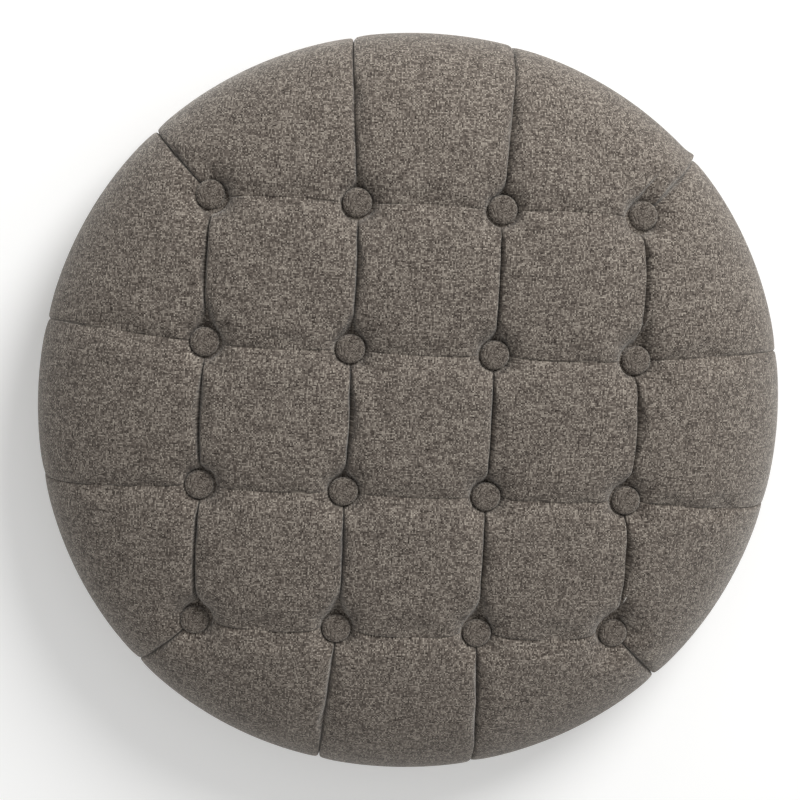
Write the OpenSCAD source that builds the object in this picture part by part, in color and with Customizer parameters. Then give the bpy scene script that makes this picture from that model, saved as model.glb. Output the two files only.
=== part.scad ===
// Round floor cushion, buttoned through on a square grid.
// A foam slab with trimmed edges lies on the base cloth, under a wrap of fibre
// wadding and one piece of woven cloth. The cloth is pleated from button to button
// and over the rim, turned under, and seamed to the base. Each button is tied with a
// loop of twine that goes down through the filling to a washer in the foam's underside.
// Origin: centre of the base, on the floor. +Z is up. All sizes are in millimetres.

/* [Cushion] */
// Width across the widest part of the side
cushion_d = 610; // [580:2:740]
// Height of the crown at the middle
cushion_h = 128; // [118:1:154]
// Height of the widest part of the side
side_h = 52; // [42:1:63]
// How far the side rolls in under the cushion to reach the base seam
under_roll = 40; // [32:1:48]
// How flat the top is: higher is flatter, with a tighter edge
crown_power = 3.6; // [3.0:0.1:4.4]
// Thickness of the woven cloth
cloth_t = 1.6; // [1.2:0.1:2.0]

/* [Tufting] */
// Buttons along each side of the square grid
grid_n = 4; // [3, 4]
// Distance from button to button
pitch = 114; // [94:1:120]
// Depth of a button's seat below the crown
tuft_depth = 14; // [11:0.5:17]
// Depth of a pleat between two buttons
pleat_depth = 8; // [6:0.5:10]
// How wide a pleat opens for each millimetre of its depth
pleat_slope = 0.7; // [0.6:0.05:0.85]
// How far an outer pleat runs out beyond the corner buttons
pleat_run = 20; // [15:1:30]

/* [Buttons] */
// Diameter of a covered button
button_d = 23; // [19:0.5:28]
// Height of a covered button
button_h = 6; // [5.5:0.5:7.5]
// Thickness of the cloth on a button
button_cloth_t = 0.9; // [0.7:0.1:1.1]
// Width of the cloth's turned-in edge
tuck_w = 2.8; // [2.3:0.1:3.4]
// Thickness of the pressed metal shell
shell_t = 0.5; // [0.4:0.1:0.6]
// Width of the shell's turned-in rim
shell_lip_w = 1.4; // [1.1:0.1:1.8]
// Thickness of the plate in the button's back
plate_t = 0.6; // [0.4:0.1:0.8]
// Radius of the wire eye, to the middle of the wire
eye_r = 2.5; // [2.3:0.1:3.0]
// Thickness of the eye's wire
eye_wire_d = 1.0; // [0.8:0.1:1.2]

/* [Twine and washers] */
// Thickness of the tufting twine
twine_d = 1.6; // [1.3:0.1:1.9]
// Diameter of a washer
washer_d = 28; // [23:1:34]
// Thickness of a washer
washer_t = 2; // [1.6:0.2:2.4]
// How far the knot under a washer spreads beyond the two strands
knot_spread = 0.2; // [0.1:0.1:1.0]
// Height of the knot under a washer
knot_h = 3; // [2.5:0.1:3.6]

/* [Filling] */
// Thickness of the fibre round the foam's side
side_wadding = 19; // [15:1:23]
// Least thickness of the fibre over the foam's flat top
seat_wadding = 6; // [4:0.5:8]
// Width of the trimmed edge along the foam's top
foam_trim = 16; // [12:1:20]
// Height of the trimmed edge along the foam's underside
foam_undercut = 25; // [20:1:30]

/* [Seam] */
// Width of cloth underneath, outside the base seam
seam_inset = 3; // [2:0.5:5]
// Height of the seam allowances inside
seam_allow = 12; // [9:1:15]
// Thickness of the sewing thread
thread_d = 0.6; // [0.4:0.1:0.8]

/* [Hidden] */
$fn = 96;
EXTRA = 1; // cuts run this far past what they cut
FIT = 0.2; // gap between soft pieces that lie on each other
ROOM = 0.05; // gap between small pieces that touch
PLATE_GAP = 0.2; // gap round the plate inside its shell
TUFT_GAP = 0.5; // cloth to button, round the seat
HOLE_GAP = 0.4; // clearance of a needle hole round the twine and the eye
FOAM_GAP = 4; // foam to the seam allowances
POCKET_GAP = 1; // foam to the edge of a washer
CROWN_STEPS = 12; // steps of the crown's outline
UNDER_STEPS = 6; // steps of the outline under the side
DOME_STEPS = 8; // steps of a button's dome
DOME_POWER = 2.6; // how square a button's edge is
TUFT_RISE = 16; // how far a tuft cut reaches above its crown

cushion_r = cushion_d / 2;
base_r = cushion_r - under_roll;
seam_r = base_r - seam_inset;
button_r = button_d / 2;
seat_r = button_r + TUFT_GAP;
grid_half = (grid_n - 1) / 2;
corner_r = norm([grid_half, grid_half]) * pitch;
pleat_end_r = corner_r + pleat_run;

// Heights inside a button, above its seat.
rim_z = FIT + button_cloth_t + ROOM;
plate_z = rim_z + shell_t + ROOM;
eye_z = plate_z - eye_r / 2;
shell_r = button_r - button_cloth_t - ROOM;

// The twine's loop lies in the eye, and its two strands stand below.
loop_r = eye_r - ROOM;
loop_z = eye_z - eye_r + eye_wire_d / 2 + ROOM - loop_r + twine_d / 2;
hole_r = max(loop_r + twine_d / 2, eye_r + eye_wire_d / 2) + HOLE_GAP;
knot_z = cloth_t + FIT;
washer_z = knot_z + knot_h + ROOM;

foam_r = cushion_r - cloth_t - side_wadding;
foam_foot_r = seam_r - cloth_t - FOAM_GAP;
// The foam's top lies under the lowest seats, and under the crown at its trimmed edge.
foam_top = min(seat_z(corner_r), crown_z(foam_r - foam_trim)) - cloth_t - seat_wadding;

GRID = [for (row = [1 : grid_n]) for (col = [1 : grid_n]) [row, col]];

// ---- where things are ----

// Row 1 is at the back and column 1 at the left.
function label(kind, b) = str(kind, "_r", b[0], "c", b[1]);

// Height of the untufted crown at a distance from the middle.
function crown_z(r) =
    side_h + (cushion_h - side_h) * sqrt(max(0, 1 - pow(r / cushion_r, crown_power)));
function seat_z(r) = crown_z(r) - tuft_depth;

function spot(b) = [(b[1] - 1 - grid_half) * pitch, (grid_half + 1 - b[0]) * pitch];
function raised(p, z) = [p[0], p[1], z];
function seat(b) = raised(spot(b), seat_z(norm(spot(b))));

// Bottom point of a pleat where it meets a button.
function pleat_at(b) = raised(spot(b), crown_z(norm(spot(b))) - pleat_depth);

// Bottom point of an outer pleat where it runs out: straight out from an edge button,
// and along the diagonal from a corner button.
function pleat_out(b) =
    let (out = [edge_side(b[1]), -edge_side(b[0])],
         p = spot(b),
         q = out[0] == 0 ? [p[0], out[1] * reach(p[0])]
           : out[1] == 0 ? [out[0] * reach(p[1]), p[1]]
           : out * reach(0) / norm(out))
    raised(q, crown_z(norm(q)) - pleat_depth / 2);
function reach(offset) = sqrt(pow(pleat_end_r, 2) - pow(offset, 2));
function edge_side(i) = i == 1 ? -1 : i == grid_n ? 1 : 0;
function on_edge(b) = edge_side(b[0]) != 0 || edge_side(b[1]) != 0;

// ---- outlines, each a half section to turn about Z ----

// The cushion, from the middle of the crown to the base, moved in by inset.
function cushion_outline(inset) =
    let (r = cushion_r - inset, up = cushion_h - inset - side_h, down = side_h - inset,
         foot = base_r - inset)
    concat(
        [for (i = [0 : CROWN_STEPS]) let (a = 90 - 90 * i / CROWN_STEPS)
            [r * pow(cos(a), 2 / crown_power), side_h + up * sin(a)]],
        [for (i = [1 : UNDER_STEPS]) let (a = 90 * i / UNDER_STEPS)
            [foot + (r - foot) * cos(a), side_h - down * sin(a)]],
        [[0, inset]]);

// The foam slab, moved out by grow.
function foam_outline(grow) =
    let (step_z = seam_allow + FOAM_GAP, slant = grow / 2)
    [[0, cloth_t - grow], [foam_foot_r + grow, cloth_t - grow],
     [foam_foot_r + grow, step_z - grow],
     [foam_r + grow, step_z + foam_undercut - grow],
     [foam_r + grow, foam_top - foam_trim + slant],
     [foam_r - foam_trim + slant, foam_top + grow], [0, foam_top + grow]];

// A button's dome, solid down to its flat bottom.
function dome_outline(r, bottom, top) = concat([[0, bottom]],
    [for (i = [0 : DOME_STEPS]) let (a = 90 * i / DOME_STEPS)
        [r * pow(cos(a), 2 / DOME_POWER), bottom + (top - bottom) * pow(sin(a), 2 / DOME_POWER)]]);

// ---- shapes that repeat ----

// The cushion's outer form, tufted, with every surface moved in by inset.
module cushion_form(inset) {
    difference() {
        rotate_extrude() polygon(cushion_outline(inset));
        for (b = GRID) {
            tuft(seat(b), inset);
            if (b[1] < grid_n) pleat(pleat_at(b), pleat_at([b[0], b[1] + 1]), inset);
            if (b[0] < grid_n) pleat(pleat_at(b), pleat_at([b[0] + 1, b[1]]), inset);
            if (on_edge(b)) pleat(pleat_at(b), pleat_out(b), inset);
        }
    }
}

// The pocket that a button pulls into the top: a 45 degree cone above its seat.
module tuft(p, inset) {
    low_r = seat_r + inset * (sqrt(2) - 1);
    rise = inset + tuft_depth + TUFT_RISE;
    translate([p[0], p[1], p[2] - inset]) cylinder(h = rise, r1 = low_r, r2 = low_r + rise);
}

// A pleat's valley, with its bottom on the line from p to q.
module pleat(p, q, inset) {
    run = q - p;
    yaw = atan2(run[1], run[0]);
    climb = atan2(run[2], norm([run[0], run[1]]));
    low = inset / sin(atan(pleat_slope));
    high = pleat_depth + TUFT_RISE;
    half_w = pleat_slope * (high + low);
    translate(p) rotate([0, -climb, yaw]) translate([-inset, 0, 0]) rotate([90, 0, 90])
        linear_extrude(norm(run) + 2 * inset)
            polygon([[0, -low], [half_w, high], [-half_w, high]]);
}

// A ring of cloth that stands up inside, along the base seam.
module seam_ring(outer_r, low_z) {
    translate([0, 0, low_z]) difference() {
        cylinder(h = seam_allow - low_z, r = outer_r);
        translate([0, 0, -EXTRA])
            cylinder(h = seam_allow - low_z + 2 * EXTRA, r = outer_r - cloth_t);
    }
}

// Holes from top to bottom where the twine goes through.
module twine_holes(r) {
    for (b = GRID) translate(raised(spot(b), -EXTRA)) cylinder(h = cushion_h + 2 * EXTRA, r = r);
}

module at_seats() {
    for (b = GRID) translate(seat(b)) children();
}

// ---- cover and filling ----

module top_cover() {
    color("#6a635c") {
        difference() {
            cushion_form(0);
            cushion_form(cloth_t);
            translate([0, 0, -EXTRA]) cylinder(h = cloth_t + 2 * EXTRA, r = seam_r);
            twine_holes(hole_r);
        }
        seam_ring(seam_r + cloth_t, cloth_t);
    }
}

module base_panel() {
    color("#4b4641") {
        cylinder(h = cloth_t, r = seam_r);
        seam_ring(seam_r, cloth_t);
    }
}

module fibre_wrap() {
    color("#ecebe6") difference() {
        cushion_form(cloth_t + FIT);
        rotate_extrude() polygon(foam_outline(FIT));
        cylinder(h = seam_allow + FIT, r = seam_r + cloth_t + thread_d + FIT);
        twine_holes(hole_r + FIT);
    }
}

module foam_core() {
    color("#d9cfb0") difference() {
        rotate_extrude() polygon(foam_outline(0));
        twine_holes(hole_r);
        for (b = GRID) translate(raised(spot(b), 0))
            cylinder(h = washer_z + washer_t + ROOM, d = washer_d + 2 * POCKET_GAP);
    }
}

// The base seam's two threads, one along each side of the standing cloth.
module seam_thread() {
    off = cloth_t + thread_d / 2;
    color("#59534c") for (side = [-1, 1])
        translate([0, 0, (cloth_t + seam_allow) / 2]) rotate_extrude()
            translate([seam_r + side * off, 0]) circle(d = thread_d);
}

// ---- buttons ----

// Cloth over a button, turned in under its edge.
module button_cloth() {
    color("#655e57") difference() {
        rotate_extrude() polygon(dome_outline(button_r, FIT, button_h));
        rotate_extrude() polygon(dome_outline(button_r - button_cloth_t, FIT + button_cloth_t,
                                              button_h - button_cloth_t));
        cylinder(h = rim_z, r = button_r - tuck_w);
    }
}

// Pressed metal shell inside the cloth, with its rim turned in under the plate.
module button_shell() {
    top = button_h - button_cloth_t - ROOM;
    color("#b9bcc0") difference() {
        rotate_extrude() polygon(dome_outline(shell_r, rim_z, top));
        rotate_extrude() polygon(dome_outline(shell_r - shell_t, rim_z + shell_t, top - shell_t));
        cylinder(h = plate_z, r = shell_r - shell_lip_w);
    }
}

// Plate on the shell's rim, which takes the pull of the eye.
module button_plate() {
    color("#9ea1a6") translate([0, 0, plate_z])
        cylinder(h = plate_t, r = shell_r - shell_t - PLATE_GAP);
}

// Wire eye, fixed to the plate's underside.
module button_eye() {
    color("#8d9095") difference() {
        translate([0, 0, eye_z]) rotate([90, 0, 0])
            rotate_extrude() translate([eye_r, 0]) circle(d = eye_wire_d);
        translate([0, 0, plate_z]) cylinder(h = 2 * eye_r, r = 2 * eye_r);
    }
}

// ---- twine and washers ----

// A loop of twine: over the eye, down through the filling and the washer, to its knot.
module twine(b) {
    top_z = seat(b)[2] + loop_z;
    strand_h = top_z - knot_z - knot_h / 2;
    color("#cfc8b8") translate(raised(spot(b), 0)) {
        translate([0, 0, top_z]) rotate([90, 0, 90])
            rotate_extrude(angle = 180) translate([loop_r, 0]) circle(d = twine_d);
        for (side = [-1, 1]) translate([0, side * loop_r, top_z])
            mirror([0, 0, 1]) cylinder(h = strand_h, d = twine_d);
        translate([0, 0, knot_z])
            cylinder(h = knot_h, r = loop_r + twine_d / 2 + knot_spread);
    }
}

// Plastic washer with a hole for each strand and a dished face.
module washer(b) {
    dish_h = washer_t / 3;
    color("#e4e2dc") translate(raised(spot(b), washer_z)) difference() {
        cylinder(h = washer_t, d = washer_d);
        for (side = [-1, 1]) translate([0, side * loop_r, -EXTRA])
            cylinder(h = washer_t + 2 * EXTRA, r = twine_d / 2 + ROOM);
        translate([0, 0, washer_t - dish_h])
            cylinder(h = dish_h + EXTRA, r = washer_d / 2 - 2 * washer_t);
    }
}

top_cover();
base_panel();
fibre_wrap();
foam_core();
seam_thread();
at_seats() button_shell();  // button_shells
at_seats() button_plate();  // button_plates
at_seats() button_eye();  // button_eyes
for (b = GRID) {
    translate(seat(b)) button_cloth();
    twine(b);
    washer(b);
}
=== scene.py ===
"""A round floor cushion in grey-brown woven cloth, buttoned through on a square grid.

The cover is one piece of cloth over fibre and foam, drawn into pleats from button to button
and over the rim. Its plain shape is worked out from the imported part's own sizes, then filled
out by a short cloth simulation. Everything is in metres, +Z up, the base on the floor.
"""

import math
from contextlib import contextmanager

import bpy
import numpy as np
from bpy.props import FloatProperty, FloatVectorProperty, IntProperty, PointerProperty
from mathutils import Matrix, Vector


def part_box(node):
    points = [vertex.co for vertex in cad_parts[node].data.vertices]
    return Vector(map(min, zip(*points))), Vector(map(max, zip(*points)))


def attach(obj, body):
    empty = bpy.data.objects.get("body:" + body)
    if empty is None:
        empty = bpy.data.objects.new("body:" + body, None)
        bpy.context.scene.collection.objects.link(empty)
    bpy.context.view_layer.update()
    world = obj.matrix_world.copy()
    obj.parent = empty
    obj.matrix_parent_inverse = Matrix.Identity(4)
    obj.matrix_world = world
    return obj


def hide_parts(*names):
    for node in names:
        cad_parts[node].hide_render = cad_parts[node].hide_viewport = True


bl_info = {
    "name": "Tufted Floor Cushion",
    "version": (1, 0, 0),
    "blender": (4, 5, 0),
    "location": "View3D > Sidebar > Cushion",
    "description": "Builds a round tufted floor cushion, piece by piece",
    "category": "Add Mesh",
}

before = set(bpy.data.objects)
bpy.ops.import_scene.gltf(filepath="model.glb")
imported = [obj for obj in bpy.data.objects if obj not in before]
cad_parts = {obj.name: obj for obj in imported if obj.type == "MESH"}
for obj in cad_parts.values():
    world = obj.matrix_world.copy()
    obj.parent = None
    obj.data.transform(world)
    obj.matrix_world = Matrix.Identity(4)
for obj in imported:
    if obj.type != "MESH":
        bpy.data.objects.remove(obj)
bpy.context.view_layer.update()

MM = 0.001

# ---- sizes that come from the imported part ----

COVER_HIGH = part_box("top_cover")[1]
RADIUS = COVER_HIGH.x
HEIGHT = COVER_HIGH.z
GRID_SIZE = max(int(name[-1]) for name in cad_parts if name.startswith("button_r"))
GRID = [(row, col) for row in range(GRID_SIZE) for col in range(GRID_SIZE)]
GRID_MIDDLE = (GRID_SIZE - 1) / 2


def place_name(kind, place):
    """Name of a button's piece; row 1 is at the back and column 1 at the left."""
    return f"{kind}_r{place[0] + 1}c{place[1] + 1}"


def middle_of(low, high):
    """Middle of a box's underside."""
    return Vector(((low.x + high.x) / 2, (low.y + high.y) / 2, low.z))


BUTTON_FEET = {place: middle_of(*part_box(place_name("button", place))) for place in GRID}
PITCH = BUTTON_FEET[0, 1].x - BUTTON_FEET[0, 0].x
BUTTON_LOW, BUTTON_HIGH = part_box(place_name("button", GRID[0]))
BUTTON_RADIUS = (BUTTON_HIGH.x - BUTTON_LOW.x) / 2
BUTTON_HEIGHT = BUTTON_HIGH.z - BUTTON_LOW.z
BASE_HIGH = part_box("base_panel")[1]
SEAM_RADIUS = BASE_HIGH.x
SEAM_TOP = BASE_HIGH.z
FOAM_LOW, FOAM_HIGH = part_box("foam_core")
WASHER_LOW, WASHER_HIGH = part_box(place_name("washer", GRID[0]))
BASE_CLOTH = 1.6 * MM  # thickness of the base cloth, which the foam and the thread keep clear of


def linear(hex_colour):
    """An sRGB hex colour as linear RGB."""
    parts = [int(hex_colour[i : i + 2], 16) / 255 for i in (1, 3, 5)]
    return tuple(c / 12.92 if c <= 0.04045 else ((c + 0.055) / 1.055) ** 2.4 for c in parts)


# ---- sizes and colours that a user would change ----


def size(name, description, default, low, high):
    return FloatProperty(
        name=name, description=description, default=default, min=low, max=high, unit="LENGTH")


def share(name, description, default, low=0.0, high=1.0):
    return FloatProperty(name=name, description=description, default=default, min=low, max=high)


def colour(name, description, default):
    return FloatVectorProperty(name=name, description=description, default=linear(default),
                               size=3, subtype="COLOR", min=0, max=1)


class CushionShape(bpy.types.PropertyGroup):
    side_height: size("Side height", "Height of the widest part of the side", 52 * MM, 0.03, 0.08)
    under_roll: size("Under roll", "How far the side rolls in to the seam", 40 * MM, 0.02, 0.06)
    crown_power: share("Crown power", "How flat the top is", 3.6, 2, 6)
    cloth: size("Cloth", "Thickness of the woven cloth", 1.6 * MM, 0.001, 0.003)
    corner_bulge: size("Corner bulge", "How far the rim stands out beyond the corner buttons",
                       2 * MM, 0, 0.005)
    tuft_depth: size("Tuft depth", "Depth of a button's seat below the crown", 14 * MM, 0.005, 0.02)
    tuft_width: size("Tuft width", "How far a tuft's slope runs out from its button",
                     24 * MM, 0.01, 0.05)
    tuck: size("Tuck", "How proud the fold of spare cloth on the back right rim stands",
               4 * MM, 0, 0.006)
    pucker: size("Puckers", "Height of the gathers along the base seam", 1.1 * MM, 0, 0.003)
    furthest: size("Furthest fill", "How far the filling may push the cloth", 4 * MM, 0, 0.008)


class CushionCloth(bpy.types.PropertyGroup):
    dark: colour("Dark fibre", "Darkest fibre in the melange yarn", "#342d28")
    middle: colour("Middle fibre", "Main colour of the yarn", "#70675f")
    light: colour("Light fibre", "Lightest fibre in the melange yarn", "#b0a79b")
    thread_spacing: size("Thread spacing", "Distance from yarn to yarn", 1.15 * MM, 0.0005, 0.004)
    lining_dark: colour("Dark lining", "Dark yarn of the base cloth", "#2c2824")
    lining_light: colour("Light lining", "Light yarn of the base cloth", "#5b544d")
    lining_spacing: size("Lining spacing", "Distance from yarn to yarn in the base cloth",
                         0.8 * MM, 0.0003, 0.003)


class CushionFilling(bpy.types.PropertyGroup):
    trim: size("Trimmed edge", "Width of the trimmed edge along the foam's top", 16 * MM, 0.01, 0.02)
    undercut: size("Undercut", "Height of the trimmed edge along the foam's underside",
                   25 * MM, 0.02, 0.03)
    foot_gap: size("Foot gap", "Foam to the seam allowances", 4 * MM, 0.002, 0.008)
    hole_radius: size("Needle hole", "Radius of a hole for the twine", 3.65 * MM, 0.002, 0.006)
    wadding: colour("Wadding", "Colour of the fibre wadding", "#ecebe6")
    foam: colour("Foam", "Colour of the foam", "#dccf9f")
    stitch: size("Stitch", "Length of one stitch of the base seam", 3.2 * MM, 0.002, 0.005)


class CushionFittings(bpy.types.PropertyGroup):
    gathers: IntProperty(name="Gathers", description="Gathers round a button's edge",
                         default=16, min=0, max=40)
    gather_depth: size("Gather depth", "Depth of the gathers round a button's edge",
                       0.14 * MM, 0, 0.0005)
    twine: colour("Twine", "Colour of the waxed twine", "#cbbf9f")
    washer: colour("Washer", "Colour of the moulded washers", "#e4e2dc")


class CushionStage(bpy.types.PropertyGroup):
    floor: colour("Floor", "Colour of the floor", "#f7f7f6")
    key: FloatProperty(name="Key", description="Power of the main light", default=60, min=0,
                       unit="POWER")
    fill: share("Fill", "Strength of the light from all round", 0.5, 0, 3)


# ---- helpers ----


def deselect():
    if bpy.context.object and bpy.context.object.mode != "OBJECT":
        bpy.ops.object.mode_set(mode="OBJECT")
    bpy.ops.object.select_all(action="DESELECT")


def activate(piece):
    deselect()
    piece.select_set(True)
    bpy.context.view_layer.objects.active = piece


def apply_modifiers(piece):
    activate(piece)
    for modifier in list(piece.modifiers):
        bpy.ops.object.modifier_apply(modifier=modifier.name)


@contextmanager
def edit_mode(action):
    """Edit mode on the active piece, with all of it or none of it selected."""
    bpy.ops.object.mode_set(mode="EDIT")
    bpy.ops.mesh.select_all(action=action)
    yield
    bpy.ops.object.mode_set(mode="OBJECT")


def points_of(mesh):
    flat = np.empty(len(mesh.vertices) * 3)
    mesh.vertices.foreach_get("co", flat)
    return flat.reshape(-1, 3)


def normals_of(mesh):
    flat = np.empty(len(mesh.vertices) * 3)
    mesh.vertex_normals.foreach_get("vector", flat)
    return flat.reshape(-1, 3)


def polar(points):
    """Radius and angle of each point about Z."""
    return np.hypot(points[:, 0], points[:, 1]), np.arctan2(points[:, 1], points[:, 0])


def run_along(line):
    """Distance along a line at each of its points."""
    return np.concatenate([[0], np.cumsum(np.linalg.norm(np.diff(line, axis=0), axis=1))])


def set_points(mesh, points):
    mesh.vertices.foreach_set("co", np.ascontiguousarray(points, float).ravel())
    mesh.update()


def mesh_piece(name, points, faces):
    mesh = bpy.data.meshes.new(name)
    mesh.from_pydata(np.asarray(points).tolist(), [], faces)
    mesh.update()
    piece = bpy.data.objects.new(name, mesh)
    bpy.context.scene.collection.objects.link(piece)
    return piece


def join(pieces, name):
    """Joins pieces into one."""
    activate(pieces[0])
    for piece in pieces:
        piece.select_set(True)
    bpy.ops.object.join()
    joined = bpy.context.object
    joined.name = joined.data.name = name
    return joined


def copied(piece, name, matrix):
    """A copy with its own mesh, moved inside its mesh."""
    copy = bpy.data.objects.new(name, piece.data.copy())
    copy.data.name = name
    copy.data.transform(matrix)
    bpy.context.scene.collection.objects.link(copy)
    return copy


TINY = 1e-6  # radius that stands for a point on the axis


def turned(name, section, steps):
    """Turns a half section of (radius, height) about Z, by drawing a ring out from point to
    point. Its ends on the axis are closed, and so is a section that comes back to its start."""
    deselect()
    ring = [(max(r, TINY), z) for r, z in section]
    bpy.ops.mesh.primitive_circle_add(vertices=steps, radius=ring[0][0], location=(0, 0, 0))
    piece = bpy.context.object
    piece.name = piece.data.name = name
    with edit_mode("SELECT"):
        bpy.ops.transform.translate(value=(0, 0, ring[0][1]))
        for (r0, z0), (r1, z1) in zip(ring[:-1], ring[1:]):
            bpy.ops.mesh.extrude_edges_move(TRANSFORM_OT_translate={"value": (0, 0, z1 - z0)})
            bpy.ops.transform.resize(value=(r1 / r0, r1 / r0, 1), center_override=(0, 0, z1))
        bpy.ops.mesh.select_all(action="SELECT")
        bpy.ops.mesh.remove_doubles(threshold=3 * TINY)
        bpy.ops.mesh.normals_make_consistent(inside=False)
    return piece


def arc_points(centre, radius, start, end, steps):
    """Points of an arc in a half section, from angle to angle in degrees."""
    angles = np.radians(np.linspace(start, end, steps + 1))
    return [(centre[0] + radius * math.cos(a), centre[1] + radius * math.sin(a)) for a in angles]


def lay_weave(piece, section, turn=0.0):
    """Lays a turned piece's cloth flat as its weave map: distance from the middle is distance
    along the section. turn is the weave's angle in radians."""
    line = np.array(section)
    run = run_along(line)
    points = points_of(piece.data)
    radius, angle = polar(points)
    nearest = np.argmin(np.hypot(radius[:, None] - line[:, 0], points[:, 2:3] - line[:, 1]), axis=1)
    place = unit(angle + turn) * run[nearest][:, None]
    corner = np.empty(len(piece.data.loops), int)
    piece.data.loops.foreach_get("vertex_index", corner)
    layer = piece.data.uv_layers.new(name="Weave")
    layer.data.foreach_set("uv", place[corner].ravel())


def finish_piece(piece, slot, material, *replaced):
    """Smooths a piece, gives it its material, hangs it from the root and hides the parts it replaces.
    slot is not used.
    """
    piece.data.materials.clear()
    piece.data.materials.append(material)
    activate(piece)
    bpy.ops.object.shade_smooth_by_angle(angle=math.radians(50))
    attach(piece, "root")
    if replaced:
        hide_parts(*replaced)


# ---- the cushion's outline and its cloth, laid flat ----


def outline(shape):
    """Half section of the untufted cushion, as distances along the cloth from the middle of the
    crown with their radii and heights, down to the top of the standing seam allowance."""
    crown = np.radians(np.linspace(0, 90, 361))
    under = crown[1:]
    foot = RADIUS - shape.under_roll
    line = np.concatenate([
        np.stack([RADIUS * np.sin(crown) ** (2 / shape.crown_power),
                  shape.side_height + (HEIGHT - shape.side_height) * np.cos(crown)], 1),
        np.stack([foot + shape.under_roll * np.cos(under),
                  shape.side_height * (1 - np.sin(under))], 1),
        [[SEAM_RADIUS, 0], [SEAM_RADIUS, SEAM_TOP]]])
    return run_along(line), line[:, 0], line[:, 1]


def unit(angle):
    return np.stack([np.cos(angle), np.sin(angle)], -1)


def smooth_step(value, start, end):
    """0 before start, 1 after end, and an even ease between them."""
    t = np.clip((value - start) / (end - start), 0, 1)
    return t * t * (3 - 2 * t)


# Mesh lines lie this far from a pleat, closer together where the cloth folds and rounds.
CLOSE_STOPS = [stop * MM for stop in (0.85, 2.3, 4.8, 8.5)]
SEAT_STOPS = [BUTTON_RADIUS + stop * MM for stop in (0.9, 1.9, 3.4, 6.4, 11, 17, 25, 35)]
HALF_CELL = [0.0] + CLOSE_STOPS + SEAT_STOPS
CELL_STEPS = 2 * len(HALF_CELL)  # mesh steps from button to button
OUTER_RINGS = 12  # mesh rings from the last seat stop to the rim
UNDER_RINGS = 12  # mesh rings from the rim to the base seam
HEM_RINGS = 2  # mesh rings up the standing seam allowance
FAN = math.radians(12)  # an outer pleat's angle to the grid where it crosses the rim

# How far each line of pleats bows between two buttons: columns to the right, rows to the back.
COLUMN_BOW = [bow * MM for bow in (-2.5, 2.0, 0.5, 4.5)]
ROW_BOW = [bow * MM for bow in (2.0, -2.0, -1.5, -4.0)]


def cell_lines():
    """Grid coordinates of the mesh lines across all the cells."""
    half = [stop / PITCH for stop in HALF_CELL]
    cell = half + [0.5] + [1 - stop for stop in half[:0:-1]]
    return np.array([k + stop for k in range(GRID_SIZE - 1) for stop in cell] + [GRID_SIZE - 1.0])


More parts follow.
